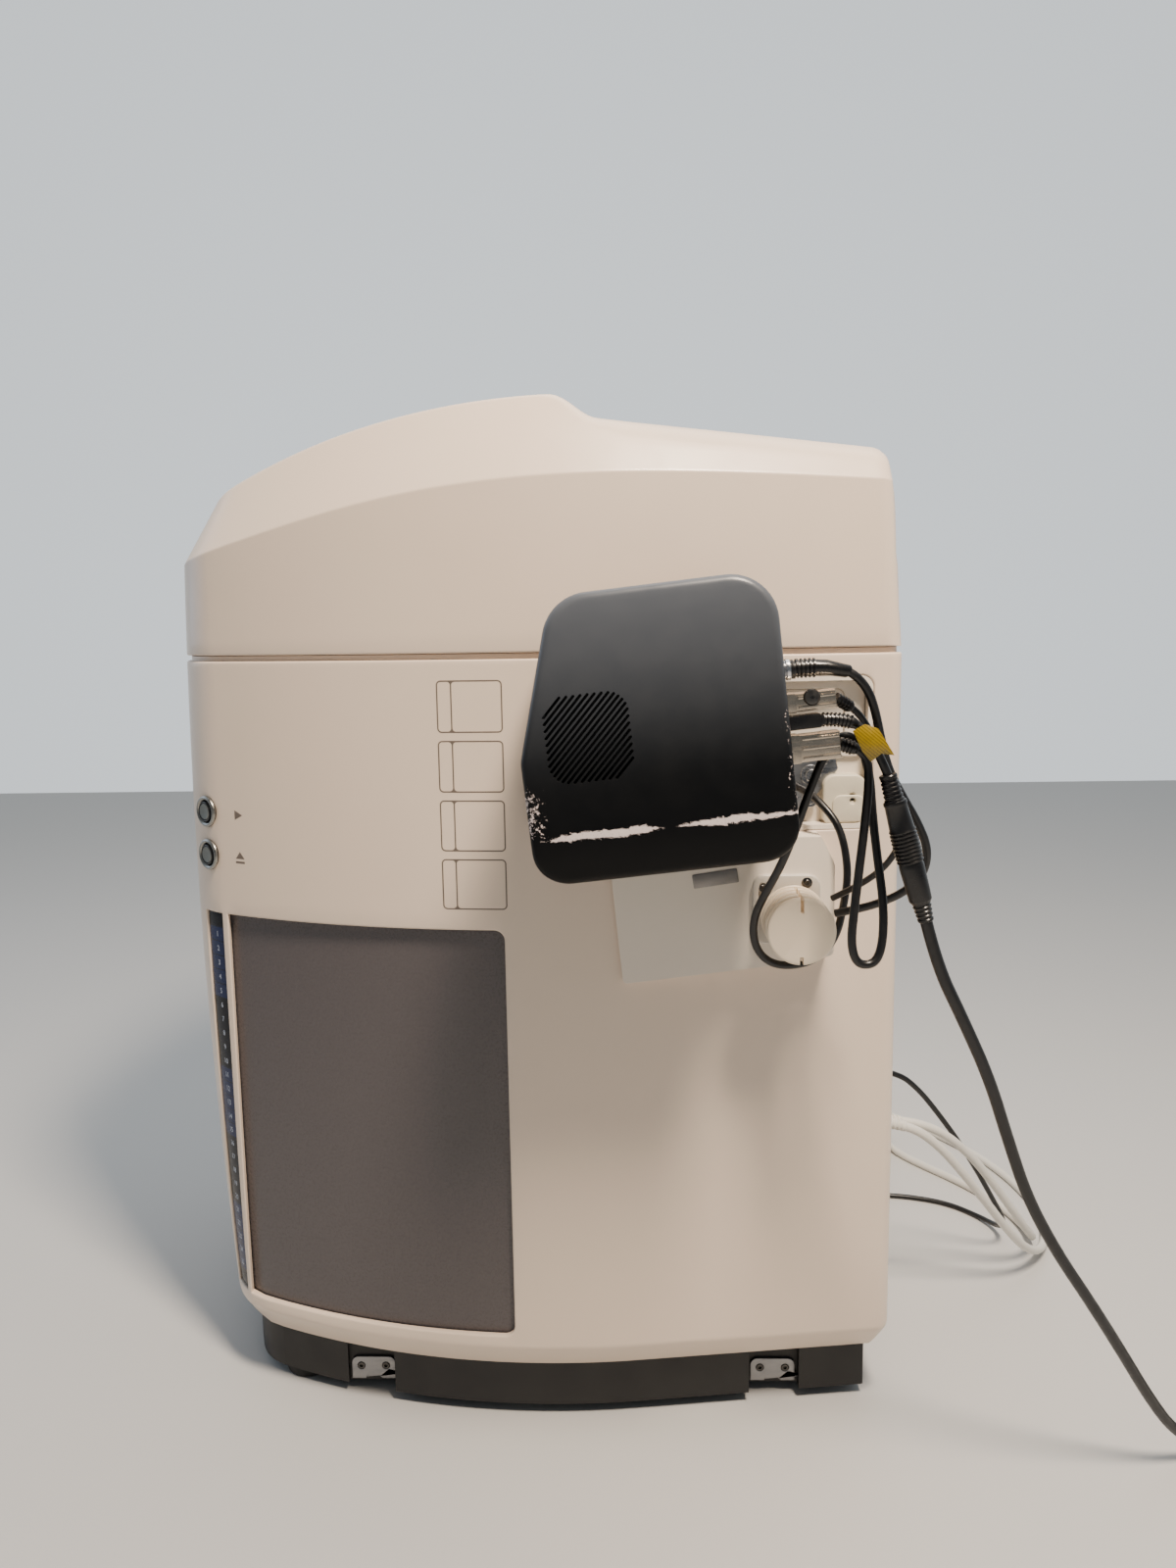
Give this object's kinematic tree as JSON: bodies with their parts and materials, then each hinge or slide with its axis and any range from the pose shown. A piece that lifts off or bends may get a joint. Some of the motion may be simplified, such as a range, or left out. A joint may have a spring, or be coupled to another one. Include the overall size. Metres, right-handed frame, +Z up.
{
  "type": "digital slide scanner",
  "caption": "Bench-top digital slide scanner with a barrel-shaped casing, lift-up hood, front tray door with magazine and lift, inner microscope, and a side camera module with leads.",
  "frame": {"origin": "middle of the casing's footprint on the surface it stands on", "axes": "+Z up, the front faces -Y, +X towards the side with the camera module"},
  "size_m": [0.7188, 0.8904, 0.706],
  "materials": {
    "casing_white": "satin off-white paint with a fine orange-peel texture",
    "panel_grey": "smooth satin mid grey paint",
    "strip_print": "clear lens over dark blue and black number fields",
    "cover_black": "satin black powder coat with scratches to bare white",
    "plate_white": "smooth satin white paint",
    "bare_steel": "bright brushed steel",
    "bright_metal": "bright nickel plate",
    "machined_aluminium": "machined and bead-blasted aluminium",
    "base_black": "matt black paint",
    "foot_rubber": "matt black rubber",
    "inner_black": "fine-grained black plastic",
    "tray_grey": "fine-grained dark grey plastic",
    "jacket_black": "smooth black lead jacket",
    "jacket_white": "smooth white lead jacket"
  },
  "bodies": {
    "chassis": {"side_cover_right": "casing_white", "side_cover_left": "casing_white", "side_panel_right": "panel_grey", "side_panel_left": "panel_grey", "number_strip": "strip_print", "front_frame": "casing_white", "button_bezels": "bare_steel", "hood_hinges": "machined_aluminium", "base_plinth": "base_black", "base_plate": "base_black", "rubber_feet": "foot_rubber", "foot_brackets": "bare_steel", "rear_panel": "casing_white", "fan_housing": "inner_black", "module_cover": "cover_black", "module_block": "machined_aluminium", "module_jacks": "bright_metal", "plug_hoods": "bright_metal", "module_plate": "plate_white", "lamp_flange": "machined_aluminium", "lamp_housing": "plate_white", "bay_insert": "plate_white", "bay_bracket": "machined_aluminium", "mounting_screws": "bare_steel", "magazine_frame": "machined_aluminium", "stored_trays": "tray_grey", "lift_rods": "bare_steel", "drive_motors": "inner_black", "optics_column": "machined_aluminium", "condenser": "inner_black", "detector_lead": "jacket_black", "signal_lead": "jacket_black", "slack_lead": "jacket_black", "lead_coupler": "inner_black", "power_lead": "jacket_black", "floor_lead": "jacket_black", "floor_lead_coil": "jacket_black", "floor_lead_plug": "inner_black", "rear_sockets": "inner_black", "white_lead_1": "jacket_white", "white_coil_1": "jacket_white", "white_lead_2": "jacket_white", "white_coil_2": "jacket_white", "black_lead": "jacket_black", "black_coil": "jacket_black", "white_plug_1": "jacket_white", "white_plug_2": "jacket_white", "black_plug": "inner_black"},
    "front_door": {"front_door": "casing_white"},
    "lift_hood": {"hood": "casing_white"},
    "start_button": {"start_button": "bare_steel"},
    "open_button": {"open_button": "bare_steel"},
    "fan": {"fan_rotor": "inner_black"},
    "tray": {"active_tray": "tray_grey"},
    "lift": {"lift_carriage": "machined_aluminium"},
    "screw": {"lift_screw": "bare_steel"},
    "stage": {"scan_stage": "machined_aluminium"},
    "turret": {"objective_turret": "bright_metal"},
    "filters": {"filter_wheel": "machined_aluminium"}
  },
  "joints": [
    {"name": "door_swing", "type": "hinge", "parent": "chassis", "child": "front_door", "pos_m": [-0.109, -0.23344, 0.212], "axis": [0, 0.0391, -0.9992], "range_deg": [0, 85]},
    {"name": "hood_lift", "type": "hinge", "parent": "chassis", "child": "lift_hood", "pos_m": [0, 0.2642, 0.533], "axis": [-1, 0, 0], "range_deg": [0, 60]},
    {"name": "start_press", "type": "slide", "parent": "chassis", "child": "start_button", "axis": [-0.7837, 0.6211, 0], "range_m": [0, 0.002], "stiffness_N_per_m": 400, "springref_m": -0.0005},
    {"name": "open_press", "type": "slide", "parent": "chassis", "child": "open_button", "axis": [-0.7837, 0.6211, 0], "range_m": [0, 0.002], "stiffness_N_per_m": 400, "springref_m": -0.0005},
    {"name": "fan_spin", "type": "hinge", "parent": "chassis", "child": "fan", "pos_m": [-0.1, 0.2427, 0.44], "axis": [0, 1, 0], "continuous": true},
    {"name": "tray_slide", "type": "slide", "parent": "chassis", "child": "tray", "axis": [0, 1, 0], "range_m": [0, 0.1]},
    {"name": "lift_slide", "type": "slide", "parent": "chassis", "child": "lift", "axis": [0, 0, 1], "range_m": [0, 0.325]},
    {"name": "screw_turn", "type": "hinge", "parent": "chassis", "child": "screw", "pos_m": [0, -0.004, 0.2], "axis": [0, 0, 1], "range_deg": [0, 5860]},
    {"name": "stage_slide", "type": "slide", "parent": "chassis", "child": "stage", "axis": [1, 0, 0], "range_m": [-0.025, 0.025]},
    {"name": "turret_turn", "type": "hinge", "parent": "chassis", "child": "turret", "pos_m": [0, 0.125, 0.47], "axis": [0, 0, 1], "continuous": true},
    {"name": "filter_turn", "type": "hinge", "parent": "chassis", "child": "filters", "pos_m": [0, 0.125, 0.535], "axis": [0, 0, 1], "continuous": true}
  ],
  "couplings": [
    {"joint": "screw_turn", "follows": "lift_slide", "rad_per_m": 314.16}
  ]
}
